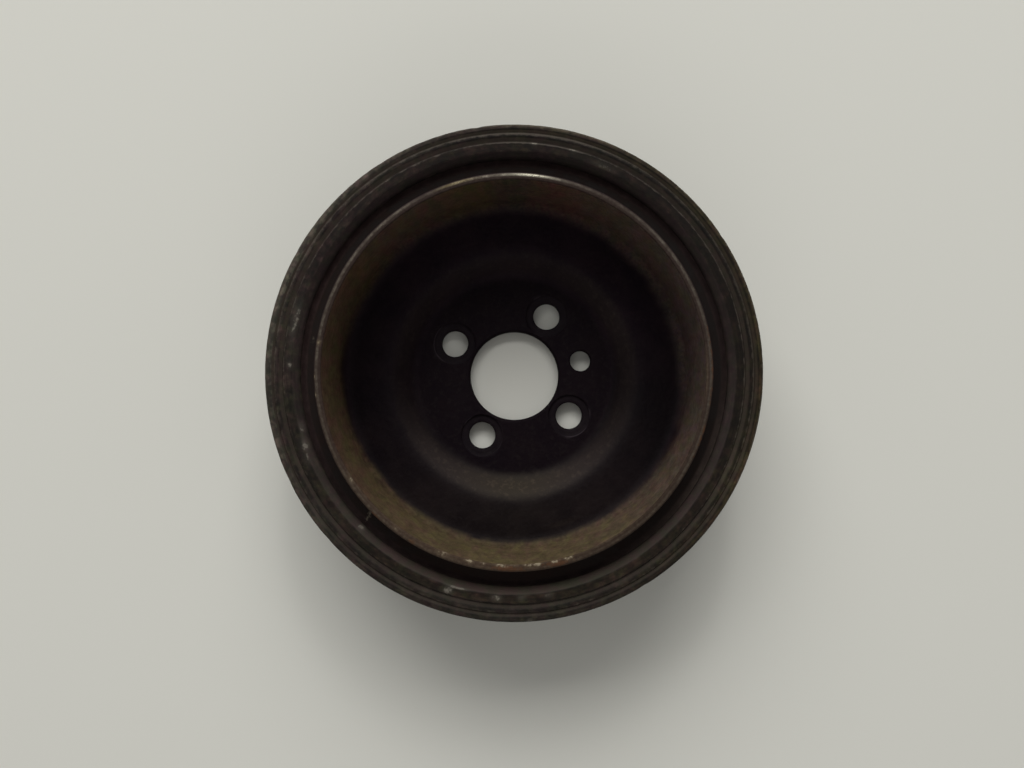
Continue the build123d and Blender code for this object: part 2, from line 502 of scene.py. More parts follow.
class HubCoat(Finish):
    """Black coated steel: brown film baked on the cup's wall, a thin haze on the step, a worn lip.

    Painted light and shade on it: the film thinned deeper down, shade on the floor, a sheen on the step
    and a glint on the lip.
    """

    def __init__(self):
        super().__init__("hub_black_coat", specular=0.07)
        self.fine = self.grain(0.3)
        self.speckle = self.span(self.grain(1.1), 0.38, 0.62)
        self.scuff = self.patches(size=1.4, cover=0.35, edge=0.08, seed=2.0)
        self.clots = self.patches(size=1.7, cover=0.5, edge=0.1, seed=3.0)
        self.low_side = self.sector(270.0, 110.0)
        self.low_right = self.sector(300.0, 65.0)
        self.left_side = self.sector(190.0, 60.0)
        self.bottom = self.sector(270.0, 45.0)
        self.shaded = self.sector(344.0, 50.0)

        colour = self.shade_haze_and_sheen(self.coat())
        colour = self.over(colour, self.film_and_shade(), self.attribute("film_and_shade"))
        colour, steel_and_glint = self.turned_edge(self.lip_dirt_light_and_shade(colour))
        colour = self.chips_and_rust(colour)
        bump = self.math("MULTIPLY_ADD", self.clots, 0.6, self.fine)
        roughness, metallic = self.level(steel_and_glint, 0.6, 0.27), self.times(steel_and_glint, 0.85)
        self.plug_in(colour, roughness, bump, depth=0.00008, metallic=metallic)

    def coat(self):
        """Purplish black, browner below and darkest on the plate, with thin scuffs and pale seats."""
        cloudy = self.patches(size=9.0, cover=0.5, edge=0.2, seed=1.0)
        above = self.mix(cloudy, paint(18, 8, 16), paint(29, 18, 24))
        below = self.mix(cloudy, paint(17, 11, 12), paint(27, 21, 20))
        plate = self.mix(cloudy, paint(11, 3, 9), paint(16, 7, 12))
        seat = self.mix(cloudy, paint(17, 10, 15), paint(25, 18, 22))
        seated = self.attribute("seat")
        colour = self.mix(self.low_side, above, below)
        colour = self.over(colour, plate, self.span(self.radius, 31.5, 34.5, 1.0, 0.0))
        colour = self.over(colour, seat, seated)
        colour = self.over(colour, paint(48, 41, 45), self.span(seated, 1.0, 2.0))
        return self.over(colour, paint(34, 29, 28), self.scuff, 0.25)

    def shade_haze_and_sheen(self, colour):
        """Shade on the floor to the left and right, and brown haze on the step, strongest below.

        The haze carries a painted sheen: raised below and in the lit sector, lowered where the step is in
        shade.
        """
        on_floor = self.band(34.0, 54.0, 1.5)
        colour = self.toned(colour, 0.6, on_floor, self.left_side)
        colour = self.toned(colour, 0.42, on_floor, self.shaded)
        foot, fade = self.level(self.bottom, 36.8, 36.0), self.level(self.bottom, 3.4, 4.0)
        # painted sheen on the step: stronger in this lit sector, weaker where the step lies in shade
        lit = self.sector(32.0, 45.0)
        step_in_shade = self.math("MAXIMUM", self.sector(187.0, 38.0), self.times(self.shaded, 0.6))
        haze_and_sheen = self.times(
            self.band(foot, 38.7, fade),
            self.attribute("front"),
            self.level(self.low_side, 0.3, 0.95),
            self.level(lit, 1.0, 1.9),
            self.level(step_in_shade, 1.0, 0.45),
        )
        brown = self.mix(self.scuff, paint(51, 45, 38), paint(63, 55, 46))
        greyer = self.mix(self.scuff, paint(52, 45, 43), paint(62, 54, 50))
        return self.over(colour, self.mix(self.bottom, greyer, brown), haze_and_sheen)

    def film_and_shade(self):
        """Film on the wall: olive below, reddish brown and grey to the sides, clotted and rubbed.

        It is painted darker at the top, as shade.
        """
        tall = self.vector("MULTIPLY", self.point, (1, 1, 0.33))
        blush = self.patches(size=4.2, cover=0.45, edge=0.08, seed=4.0, point=tall)
        bloom = self.patches(size=3.0, cover=0.4, edge=0.08, seed=6.0, point=tall)
        cloud = self.patches(size=3.6, cover=0.5, edge=0.14, seed=11.0, point=tall)
        upper = self.span(self.sector(100.0, 95.0), 0.05, 0.6)
        right_side = self.sector(10.0, 85.0)
        colour = self.mix(upper, paint(84, 73, 51), paint(65, 54, 50))
        colour = self.over(colour, paint(77, 68, 73), right_side)
        reddish = self.mix(upper, paint(90, 67, 58), paint(78, 50, 46))
        colour = self.over(colour, reddish, blush, self.level(right_side, 0.7, 0.3))
        olive = self.mix(upper, paint(94, 87, 52), paint(70, 60, 36))
        yellowing = self.level(right_side, self.level(self.low_side, 0.5, 0.6), 0.15)
        colour = self.over(colour, olive, bloom, yellowing)
        for seen, reach, cast in FILM_CASTS:
            colour = self.over(colour, cast, self.sector(seen, reach), self.level(bloom, 0.55, 0.95))

        near_lip = self.span(self.height, 30.0, 44.0, 0.3, 1.0)
        colour = self.over(colour, paint(88, 63, 56), near_lip, self.left_side, 0.7)
        colour = self.over(colour, paint(54, 43, 34), self.clots, 0.45)
        colour = self.over(colour, paint(112, 100, 74), self.speckle, 0.3)
        streaks = self.span(self.turning(lines=0.5, sway=9.0), 0.45, 0.7)
        colour = self.over(colour, paint(56, 43, 36), streaks, 0.3)
        drifting = self.level(self.low_side, 1.0, 0.2)
        colour = self.tinged(colour, size=3.4, seed=2.0, share=drifting, point=tall)
        colour = self.tinted(colour, 0.99, 0.98, 1.1, self.sector(312.0, 38.0))
        colour = self.toned(colour, self.level(cloud, 1.14, 0.86))
        # a little darker at the bottom, and painted shade at the top, where the wall faces away from the
        # light
        colour = self.toned(colour, 0.94, self.bottom)
        return self.toned(colour, 0.8, self.sector(95.0, 34.0))

    def lip_dirt_light_and_shade(self, colour):
        """Dark dirt on the lip's top, speckled; painted lighter below as light, and darker to the lower
        right as painted shade.
        """
        lip = self.span(self.height, LIP_TOP - 0.7, LIP_TOP - 0.1)
        dirt_and_light = self.mix(self.low_side, paint(44, 34, 30), paint(60, 47, 38))
        specks = self.mix(self.low_side, paint(58, 48, 42), paint(80, 66, 52))
        colour = self.over(colour, self.over(dirt_and_light, specks, self.speckle, 0.5), lip)
        return self.toned(colour, 0.7, lip, self.low_right)

    def turned_edge(self, colour):
        """Steel rubbed bright where the lip turns over outwards, with a painted glint at the top: the
        colour, and where it is bright steel or glint.
        """
        turned_over = self.times(
            self.band(58.15, 58.5, 0.45), self.span(self.height, LIP_TOP - 0.8, LIP_TOP - 0.4)
        )
        # the bright steel is real wear, made into a painted glint: strongest in this sector at the top
        glint = self.sector(98.0, 24.0)
        steel_and_glint = self.times(
            turned_over,
            self.level(glint, self.level(self.low_side, 0.42, 0.1), 0.55),
            self.level(self.sector(60.0, 18.0), 1.0, 0.4),
            self.level(self.sector(116.0, 9.0), 1.0, 0.4),
            self.span(self.grain(3.5), 0.4, 0.6, 0.6, 1.15),
        )
        steel = self.mix(self.speckle, paint(82, 75, 66), paint(110, 104, 93))
        colour = self.over(colour, steel, steel_and_glint)
        # painted highlight: the near-white core of the glint
        painted_hot_glint = self.times(turned_over, self.sector(84.5, 12.0))
        colour = self.over(colour, paint(124, 120, 107), painted_hot_glint)
        # painted highlight: the glint's yellowish tail to the left
        colour = self.over(colour, paint(104, 92, 60), turned_over, self.sector(107.0, 9.0), 0.45)

        # the lip's own brown on its outer rounding, paler and stronger below as painted bounce light
        outer_brown_and_bounce = self.times(
            self.span(self.height, LIP_TOP - 1.2, LIP_TOP - 0.7),
            self.span(self.radius, 57.9, 58.4),
            self.level(self.low_right, 1.0, 0.55),
            self.level(self.low_side, 0.0, 0.8),
        )
        brown = self.mix(self.speckle, paint(66, 53, 44), paint(84, 71, 58))
        return self.over(colour, brown, outer_brown_and_bounce), self.math("MAXIMUM", steel_and_glint, painted_hot_glint)

    def chips_and_rust(self, colour):
        """Marks placed along the lip: scuffs round the chips, rust, and flaked paint in the chips."""
        chips = self.attribute("chips")
        scuffed = self.mix(self.speckle, paint(74, 60, 46), paint(96, 84, 68))
        colour = self.over(colour, scuffed, self.span(chips, 0.03, 0.4), 0.55)
        rust = self.mix(self.fine, paint(64, 42, 29), paint(98, 66, 44))
        rusted = self.broken(self.attribute("rust"), size=1.4, rough=2.6)
        colour = self.over(colour, rust, rusted, 0.7)
        filler = self.mix(self.fine, paint(104, 92, 72), paint(164, 152, 130))
        flaked = self.broken(self.span(chips, 0.1, 1.0), size=1.1, rough=3.2)
        return self.over(colour, filler, flaked, 0.85)


# parts of the ring's face by radius, (from, to, fade)
LEAD_IN = (64.7, 66.5, 0.4)
LAND = (67.1, 69.1, 0.3)
INNER_SLOPE, OUTER_SLOPE = (69.9, 70.7, 0.3), (72.5, 73.1, 0.3)
RIDGE = (71.2, 71.7, 0.25)
RIM_FOOT = (73.4, 73.7, 0.2)
RIM = (73.2, 76.0, 0.3)
RIM_EDGE = (74.0, 76.0, 0.4)
# light and dark stretches of the face, rows of (from radius, to radius, seen angle, reach, factor)
FACE_STRETCHES = [
    (64.7, 66.6, 193.0, 20.0, 0.84),
    (64.7, 66.6, 15.0, 28.0, 0.86),
    (69.0, 72.6, 65.0, 78.0, 0.82),
    (71.8, 76.0, 150.0, 35.0, 1.12),
    (73.3, 76.0, 187.0, 11.0, 0.72),
    (73.3, 76.0, 310.0, 15.0, 0.58),
    (67.1, 76.0, 337.0, 20.0, 1.28),
    (73.4, 76.0, 336.0, 14.0, 1.4),
    (70.9, 72.4, 20.0, 55.0, 0.72),
    (67.1, 69.2, 202.0, 14.0, 0.72),
]


class RingIron(Finish):
    """Turned cast iron under old matt black paint, with pale grooves, rubbed edges and patches of dust.

    Painted light on it: a glint on the edges at the top, and paler lead-in, ridge, rim foot and rim edge
    on the lit sides.
    """

    def __init__(self):
        super().__init__("ring_black_iron", specular=0.1)
        self.fine = self.grain(0.4)
        self.marks = self.turning(lines=1.6, sway=3.5)
        self.tint = self.patches(size=6.0, cover=0.5, edge=0.08, seed=7.0)
        self.blotch = self.patches(size=2.2, cover=0.45, edge=0.08, seed=8.0)
        self.low_side = self.sector(270.0, 110.0)
        self.left_side = self.sector(165.0, 75.0)
        self.right_side = self.sector(15.0, 80.0)
        self.upper = self.span(self.sector(110.0, 95.0), 0.05, 0.6)

        colour = self.turned_face(self.streaks(self.coat()))
        colour, wear_and_glint = self.rubbed_and_glinting_edges(colour)
        colour = self.dust(self.stretches(colour))
        bump = self.math("MULTIPLY_ADD", self.marks, 0.6, self.fine)
        roughness, metallic = self.level(wear_and_glint, 0.62, 0.45), self.times(wear_and_glint, 0.2)
        self.plug_in(colour, roughness, bump, depth=0.0001, metallic=metallic)

    def face(self, low, high, fade):
        """Share of a ring of the front face."""
        in_front = self.span(self.height, RING_FRONT - 2.3, RING_FRONT - 1.9)
        return self.times(self.band(low, high, fade), in_front)

    def coat(self):
        """Paint that shifts between a brown and a greenish black, paler to the left and below."""
        colour = self.mix(self.tint, paint(30, 23, 22), paint(27, 26, 20))
        for share, side, brown, green in (
            (0.8, self.low_side, paint(38, 33, 29), paint(33, 32, 27)),
            (0.6, self.left_side, paint(42, 35, 31), paint(34, 34, 29)),
            (0.6, self.right_side, paint(22, 18, 16), paint(20, 18, 13)),
        ):
            colour = self.over(colour, self.mix(self.tint, brown, green), side, share)
        colour = self.over(colour, paint(42, 35, 31), self.span(self.marks, 0.35, 0.65), 0.45)
        pale = self.mix(self.tint, paint(57, 46, 42), paint(52, 49, 36))
        colour = self.over(colour, pale, self.blotch, self.level(self.left_side, 0.35, 0.65))
        dark = self.patches(size=2.6, cover=0.45, edge=0.08, seed=9.0)
        return self.over(colour, paint(18, 12, 12), dark, 0.5)

    def streaks(self, colour):
        """Light and dark drawn out round the axis, and an olive cast that grows towards the rim."""
        colour = self.toned(colour, self.span(self.turning(lines=1.1, sway=8.0), 0.32, 0.68, 0.7, 1.3))
        colour = self.toned(colour, self.span(self.turning(lines=0.6, sway=22.0), 0.32, 0.68, 0.62, 1.4))
        outwards = self.span(self.radius, 69.0, 72.0)
        colour = self.tinted(colour, 1.0, 0.97, 0.66, self.sector(345.0, 85.0), outwards)
        inwards = self.span(self.radius, 70.0, 72.0, 1.0, 0.4)
        return self.tinted(colour, 1.03, 0.97, 1.02, self.upper, inwards)

    def turned_face(self, colour):
        """By radius: pale lead-in, dark land, pale slopes of the grooves, dark ridge and pale rim.

        Painted light: the lead-in paler below, the ridge and the rim's foot paler to the left, and the
        rim's edge paler to the left and at the top, over its pale worn paint.
        """
        green_or_brown = self.mix(self.tint, paint(73, 63, 57), paint(67, 63, 54))
        pale = self.mix(self.low_side, paint(68, 60, 59), green_or_brown)
        # paler below, where the lead-in faces the light: painted light
        colour = self.over(colour, pale, self.face(*LEAD_IN), self.level(self.low_side, 0.35, 0.7))

        land = self.face(*LAND)
        land_tone = self.level(self.right_side, self.level(self.low_side, 0.6, 0.92), 0.42)
        colour = self.toned(colour, self.level(self.left_side, land_tone, 0.78), land)
        off_left = self.math("SUBTRACT", 1.0, self.left_side)
        colour = self.tinted(colour, 1.08, 1.0, 0.84, land, off_left)

        slopes = self.math("MAXIMUM", self.face(*INNER_SLOPE), self.face(*OUTER_SLOPE))
        colour = self.over(colour, paint(52, 46, 39), slopes, 0.5)
        # paler to the left, and the rim's edge also at the top, where light falls: painted light
        ridge_tone = self.level(self.left_side, self.level(self.low_side, 0.65, 0.85), 1.1)
        colour = self.toned(colour, ridge_tone, self.face(*RIDGE))

        colour = self.toned(colour, self.level(self.left_side, 0.75, 1.9), self.face(*RIM_FOOT))
        edge_tone = self.level(self.left_side, self.level(self.low_side, 1.7, 1.05), 2.6)
        colour = self.toned(colour, edge_tone, self.face(*RIM_EDGE))
        chalk = self.mix(self.blotch, paint(52, 52, 46), paint(88, 86, 76))
        colour = self.over(colour, chalk, self.face(*RIM), self.left_side, 0.55)
        return self.tinged(colour, size=2.4, seed=5.0, share=0.65)

    def rubbed_and_glinting_edges(self, colour):
        """Paint worn through on the edges, raised into a painted glint where they gleam at the top: the
        colour, and the wear with its glint.
        """
        lower = self.level(self.low_side, self.level(self.right_side, 0.45, 0.75), 0.3)
        # weaker below and strongest in this top sector: painted highlight on the edges
        rub_and_glint = self.level(self.sector(83.0, 22.0), self.level(self.upper, lower, 0.62), 1.15)
        wear_and_glint = self.broken(self.times(self.attribute("wear"), rub_and_glint), size=1.8, rough=1.7)
        iron = self.mix(self.fine, paint(62, 54, 48), paint(86, 80, 71))
        return self.over(colour, iron, wear_and_glint, 0.7), wear_and_glint

    def stretches(self, colour):
        """Light and dark stretches of the face, and a yellowish cast along the rim."""
        for low, high, seen, reach, factor in FACE_STRETCHES:
            colour = self.toned(colour, factor, self.face(low, high, 0.3), self.sector(seen, reach))
        outwards = self.span(self.radius, 71.5, 73.5)
        return self.tinted(colour, 0.99, 1.0, 0.78, self.sector(45.0, 85.0), outwards)

    def dust(self, colour):
        """Pale dust: a thin even veil under broken spots."""
        lying = self.attribute("dust")
        spots = self.times(self.broken(lying, size=1.6, rough=2.0), 0.65)
        settled = self.math("MAXIMUM", spots, self.times(lying, 0.35))
        return self.over(colour, self.mix(self.fine, paint(88, 83, 74), paint(146, 140, 128)), settled)


class DamperRubber(Finish):
    """Old black rubber: dull and slightly brown, with dust along its outer side; dark in its hollow as
    painted shade, and paler along its outer side as painted light.
    """

    def __init__(self):
        super().__init__("aged_rubber", specular=0.15)
        self.fine = self.grain(0.5)
        self.dusty = self.patches(size=3.0, cover=0.4, edge=0.2, seed=5.0)
        colour = self.smears(self.hollow_shade(self.drifted(self.skin())))
        self.plug_in(colour, self.level(self.dusty, 0.7, 0.9), self.fine, depth=0.0001)

    def skin(self):
        """Brownish black in dull patches."""
        return self.mix(self.dusty, paint(24, 15, 14), paint(38, 28, 27))

    def drifted(self, colour):
        """Dust drifted against the ring at the lower right."""
        drift = self.mix(self.dusty, paint(60, 51, 46), paint(72, 64, 56))
        outside = self.span(self.radius, 62.4, 64.2)
        return self.over(colour, drift, self.sector(328.0, 40.0), outside, 0.5)

    def hollow_shade(self, colour):
        """The hollow beside the wall, painted dark as shade except at the bottom, and warm; the outer side
        painted paler as light, most to the left and at the top.
        """
        hollow_shade = self.band(59.0, 62.8, 0.6)
        bottom, right_side = self.sector(265.0, 50.0), self.sector(25.0, 80.0)
        # painted shade in the hollow, least at the bottom
        depth = self.level(bottom, self.level(right_side, 0.58, 0.4), 0.95)
        colour = self.toned(colour, depth, hollow_shade)
        colour = self.tinted(colour, 1.08, 0.99, 0.8, hollow_shade)
        upper, left_side = self.sector(80.0, 75.0), self.sector(155.0, 60.0)
        # painted light on the outer side, most to the left and at the top
        painted_lift = self.level(left_side, self.level(upper, 1.25, 1.7), 2.2)
        return self.toned(colour, painted_lift, self.band(63.2, 65.0, 0.6))

    def smears(self, colour):
        """Pale marks where something rubbed the rubber."""
        smear = self.mix(self.fine, paint(84, 76, 64), paint(120, 112, 98))
        smeared = self.broken(self.attribute("dust"), size=0.8, rough=2.0)
        return self.over(colour, smear, smeared, 0.7)


hub_finish, ring_finish, rubber_finish = HubCoat().material, RingIron().material, DamperRubber().material


# ------------------------------------------------------------------ hub
HUB_STEPS = 512
GRID_START, GRID_END = 15.8, 30.6  # radii between which the plate is gridded alike on both faces
BOLT_CIRCLE = 23.0
BOLT_ANGLES = (0.0, 90.0, 180.0, 262.3)
DOWEL_ANGLE = 311.15
# each hole's own section, (radius from its axis, height), from the front face down to the rear
BOLT_SEAT = np.array([
    (7.1, PLATE_FRONT),
    (7.0, 4.42),
    (7.0, 3.98),
    (6.9, 3.9),
    (5.8, 3.9),
    (4.62, 3.9),
    (4.5, 3.78),
    (4.5, 2.0),
    (4.5, 0.15),
    (4.62, 0.0),
])
DOWEL_HOLE = np.array([(3.75, PLATE_FRONT), (3.5, 4.25), (3.5, 2.2), (3.5, 0.2), (3.7, 0.0)])
SEAT_WALL, SEAT_FLOOR = slice(0, 3), slice(3, 6)  # rows of BOLT_SEAT
BLEND_RINGS = 4  # rings of faces between a hole's edge and the grid around it
# least width of that blend: outwards at a bolt's seat and at the dowel's hole, and round the axis
SEAT_MARGIN, DOWEL_MARGIN, SIDE_MARGIN = 0.6, 1.2, 0.45
# brown film on the cup's wall, made thinner deeper down as painted shade, rows of (seen angle, climb
# where it starts, where it covers, where it is thickest); climb is the way up the inside, measured
# along the wall and bent on over the corner
FILM_EDGE = np.array([
    (0, 7.5, 14, 42),
    (20, 7, 13, 40),
    (45, 7, 12.5, 38),
    (90, 8, 14, 46),
    (135, 8.5, 15, 40),
    (160, 9.5, 16, 36),
    (178, 11.5, 20, 28),
    (186, 11.5, 16.5, 22),
    (200, 11, 16, 21),
    (215, 9.6, 12.2, 20),
    (240, 9.8, 11.8, 19),
    (300, 9.8, 12.2, 19),
    (325, 10.4, 15, 22),
    (340, 11, 20, 32),
    (350, 9, 18, 40),
])
FILM_RADIUS, FILM_SHADED_BELOW = 53.0, 13  # the film lies outside this radius and thickens from this climb; thinner below it is painted shade
CHIP_DEPTH = 0.12
# marks on the lip, rows of (seen angle, radius, height, reach round, reach across, strength)
LIP_CHIPS = [
    (248.7, 57.4, 46.0, 1.9, 1.0, 0.6),
    (256.9, 57.2, 46.0, 1.4, 0.8, 0.64),
    (261.0, 57.2, 46.0, 1.0, 0.7, 0.45),
    (266.8, 57.1, 46.0, 2.2, 0.9, 0.72),
    (270.5, 57.1, 46.0, 1.0, 0.7, 0.45),
    (274.8, 57.1, 46.0, 1.8, 0.9, 0.72),
    (277.7, 57.1, 46.0, 0.9, 0.7, 0.6),
    (282.4, 57.2, 46.0, 1.4, 0.8, 0.6),
    (286.2, 57.3, 46.0, 1.5, 0.9, 0.62),
    (233.0, 57.4, 46.0, 1.8, 1.1, 0.42),
    (213.5, 57.4, 46.0, 1.5, 1.0, 0.4),
    (171.5, 58.2, 46.0, 0.9, 0.8, 0.6),
    (181.6, 59.1, 45.6, 0.9, 0.5, 0.9),
    (186.8, 59.1, 45.6, 0.8, 0.5, 0.9),
    (358.0, 57.1, 45.9, 10.0, 0.6, 0.28),
    (218.0, 57.2, 45.9, 9.0, 0.6, 0.2),
    (300.0, 57.0, 45.9, 9.0, 0.5, 0.2),
    (288.0, 51.4, 12.0, 9.0, 1.2, 0.12),
]
LIP_RUST = [
    (268.0, 58.2, 46.0, 6.0, 1.0, 0.8),
    (283.0, 58.2, 46.0, 5.0, 1.0, 0.9),
    (226.1, 59.1, 45.6, 1.8, 0.8, 1.0),
    (240.0, 58.6, 46.0, 3.0, 0.8, 0.6),
    (2.0, 58.8, 45.9, 12.0, 0.6, 0.6),
    (340.0, 58.8, 45.9, 8.0, 0.6, 0.5),
]


def hub_section():
    """The hub's section from the bore round by the rear, and where each named corner lies in it."""
    corners = {
        "bore, rear": (BORE, BORE_CHAMFER, 0),
        "bore's chamfer, rear": (BORE + BORE_CHAMFER, 0, 0),
        "grid's start, rear": (GRID_START, 0, 0),
        "grid's end, rear": (GRID_END, 0, 0),
        "foot, rear": (FOOT_REAR, 0, 7.8),
        "head, rear": (HEAD_REAR, FLOOR_REAR, 2.5),
        "cup's corner, rear": (WALL_RADIUS, FLOOR_REAR, 6.1),
        "lip, outside": (WALL_RADIUS, LIP_TOP, 1.1),
        "lip, inside": (WALL_INNER, LIP_TOP, 0.5),
        "cup's corner, front": (WALL_INNER, FLOOR_FRONT, 3.8),
        "head, front": (HEAD_FRONT, FLOOR_FRONT, 6.3),
        "foot, front": (FOOT_FRONT, PLATE_FRONT, 4.0),
        "grid's end, front": (GRID_END, PLATE_FRONT, 0),
        "grid's start, front": (GRID_START, PLATE_FRONT, 0),
        "bore's chamfer, front": (BORE + BORE_CHAMFER, PLATE_FRONT, 0),
        "bore, front": (BORE, PLATE_FRONT - BORE_CHAMFER, 0),
    }
    points, places = rounded_section(np.array(list(corners.values())), spacing=1.25, arc_step=15.0)
    return points, dict(zip(corners, places))


def wall_film_and_shade(points, turn):
    """How thickly the film covers the cup's wall, (point, step).

    It is an eased step from the climb where it starts to the climb where it covers, times 0.6, and
    up to 1 by a falling parabola at the climb where it is thickest. The 0.6 deeper down is painted
    shade in the cup.
    """
    seen, *edges = FILM_EDGE.T
    here = np.degrees(turn) + SEEN_TURN
    start, full, thickest = (np.interp(here, seen, edge, period=360) for edge in edges)
    start = start + 0.5 * wander(turn, seed=21, slowest=6, fastest=60)
    climb = (points[:, 1] - (WALL_INNER - points[:, 0]))[:, None]
    share = np.clip((climb - start) / (full - start), 0, 1)
    out_of_shade = np.clip((climb - FILM_SHADED_BELOW) / (thickest - FILM_SHADED_BELOW), 0, 1)
    film_and_shade = share * share * (3 - 2 * share) * (0.6 + 0.4 * out_of_shade * (2 - out_of_shade))
    return film_and_shade * (points[:, 0] > FILM_RADIUS)[:, None]


def hole_gap(radii, angle, widest, margin):
    """The plate's grid that gives way to a hole: its rows outwards and its columns round the axis."""
    rows = np.flatnonzero(np.abs(radii - BOLT_CIRCLE) <= widest + margin)
    half_angle = np.degrees(np.arcsin((widest + SIDE_MARGIN) / BOLT_CIRCLE))
    half = int(np.ceil(half_angle / 360 * HUB_STEPS))
    middle = round(angle / 360 * HUB_STEPS)
    return rows, np.arange(middle - half, middle + half + 1) % HUB_STEPS


def round_the_gap(rows, columns):
    """The gap's outline, anticlockwise from above, as numbers of its rows and columns of the grid.

    It runs backwards along the inner edge, outwards, along the outer edge, and inwards.
    """
    wide, tall = len(columns) - 1, len(rows) - 1
    row_path = [np.zeros(wide, int), np.arange(tall), np.full(wide, tall), np.arange(tall, 0, -1)]
    column_path = [columns[:0:-1], np.full(tall, columns[0]), columns[:-1], np.full(tall, columns[-1])]
    return np.concatenate(row_path), np.concatenate(column_path)


def hole_rings(edge, centre, profile):
    """Rings of points (ring, place, xyz) from the gap's edge to the hole, down it and out again.

    A place keeps its direction from the hole's centre. Its distance blends evenly from the gap's
    edge to the profile's first radius, follows the profile, and blends back on the rear.
    """
    direction = edge / np.linalg.norm(edge, axis=1)[:, None]
    share = (np.arange(1, BLEND_RINGS) / BLEND_RINGS)[:, None, None]
    narrowing = edge * (1 - share) + direction * profile[0, 0] * share
    widening = direction * profile[-1, 0] * (1 - share) + edge * share
    rings = np.concatenate([narrowing, direction * profile[:, 0][:, None, None], widening])
    blend = BLEND_RINGS - 1
    heights = np.concatenate([np.full(blend, PLATE_FRONT), profile[:, 1], np.zeros(blend)])
    heights = np.broadcast_to(heights[:, None, None], (*rings.shape[:2], 1))
    return np.concatenate([rings + centre, heights], -1)


def hole_marks(rings, edge, angle, profile):
    """The named values on a hole's rings: front down to the rear face, and a bolt's worn seat."""
    front, seat = np.zeros((2, *rings.shape[:2]))
    front[: BLEND_RINGS - 1 + np.argmin(profile[:, 1] > 0)] = 1
    if profile is BOLT_SEAT:
        way_round = np.arctan2(edge[:, 1], edge[:, 0])
        arcs = 0.3 + 1.2 * wander(way_round, seed=round(angle), slowest=1, fastest=6)
        own = seat[BLEND_RINGS - 1 :]
        own[SEAT_WALL] = 2 * np.clip(arcs, 0, 1)
        own[SEAT_FLOOR] = 1
    none = np.zeros(front.size)
    return {"front": front.ravel(), "chips": none, "rust": none, "film_and_shade": none, "seat": seat.ravel()}


def hub_shell():
    """Formed hub: its section turned about the axis, with five holes through the plate.

    Round each hole the grid gives way to rings, which run from the edge of that gap to the hole's
    edge, down its section, and out again on the rear.
    """
    points, at = hub_section()
    turn = even_turns(HUB_STEPS)
    front = np.zeros((len(points), 1))
    front[at["lip, inside"] :] = 1  # from there on the section faces the cup
    chips = dabs(points, turn, LIP_CHIPS)
    grid = carried_round(points, HUB_STEPS, -CHIP_DEPTH * np.minimum(chips, 1))
    marks = [{
        "front": np.repeat(front, HUB_STEPS),
        "chips": chips.ravel(),
        "rust": dabs(points, turn, LIP_RUST).ravel(),
        "film_and_shade": (wall_film_and_shade(points, turn) * front).ravel(),
        "seat": np.zeros(chips.size),
    }]
    rear_first, rear_last = at["grid's start, rear"], at["grid's end, rear"]
    front_last = at["grid's start, front"]
    numbers = np.arange(chips.size).reshape(chips.shape)
    kept = np.ones(chips.shape, bool)
    vertices, quads, total = [grid.reshape(-1, 3)], [], chips.size
    holes = [(angle, BOLT_SEAT, SEAT_MARGIN) for angle in BOLT_ANGLES]
    holes.append((DOWEL_ANGLE, DOWEL_HOLE, DOWEL_MARGIN))
    for angle, profile, margin in holes:
        widest = profile[:, 0].max()
        rows, columns = hole_gap(points[rear_first : rear_last + 1, 0], angle, widest, margin)
        rear_rows, front_rows = rear_first + rows, front_last - rows
        kept[np.ix_(front_rows[1:], columns[:-1])] = False
        kept[np.ix_(rear_rows[:-1], columns[:-1])] = False
        row_path, column_path = round_the_gap(rows, columns)
        front_loop = numbers[front_rows[row_path], column_path]
        rear_loop = numbers[rear_rows[row_path], column_path]
        centre = BOLT_CIRCLE * np.array([np.cos(np.radians(angle)), np.sin(np.radians(angle))])
        edge = vertices[0][front_loop][:, :2] - centre
        rings = hole_rings(edge, centre, profile)
        own = total + np.arange(rings.size // 3).reshape(rings.shape[:2])
        total += own.size
        chain = np.concatenate([front_loop[None], own, rear_loop[None]])
        after = np.roll(chain, -1, 1)
        quads.append(np.stack([chain[:-1], after[:-1], after[1:], chain[1:]], -1).reshape(-1, 4))
        vertices.append(rings.reshape(-1, 3))
        marks.append(hole_marks(rings, edge, angle, profile))
    quads.append(grid_quads(*chips.shape)[kept])
    values = {name: np.concatenate([part[name] for part in marks]) for name in marks[0]}
    return made_piece(
        "hub_shell",
        np.concatenate(vertices),
        np.concatenate(quads),
        material=hub_finish,
        slot="hub_steel",
        node="hub",
        **values,
    )


# ------------------------------------------------------------------ rubber
RUBBER_STEPS = 512
RUBBER_DIP = 1.3
DIP_SHARE = 1 / 3  # of the rubber's width, from a bonded edge to the flat middle
# dust on the rubber, rows as for the lip
RUBBER_DUST = [
    (224.6, 61.3, 37.0, 0.9, 1.2, 0.5),
    (225.3, 63.2, 37.0, 0.8, 1.2, 0.4),
    (171.0, 62.0, 37.0, 1.2, 1.0, 0.4),
]


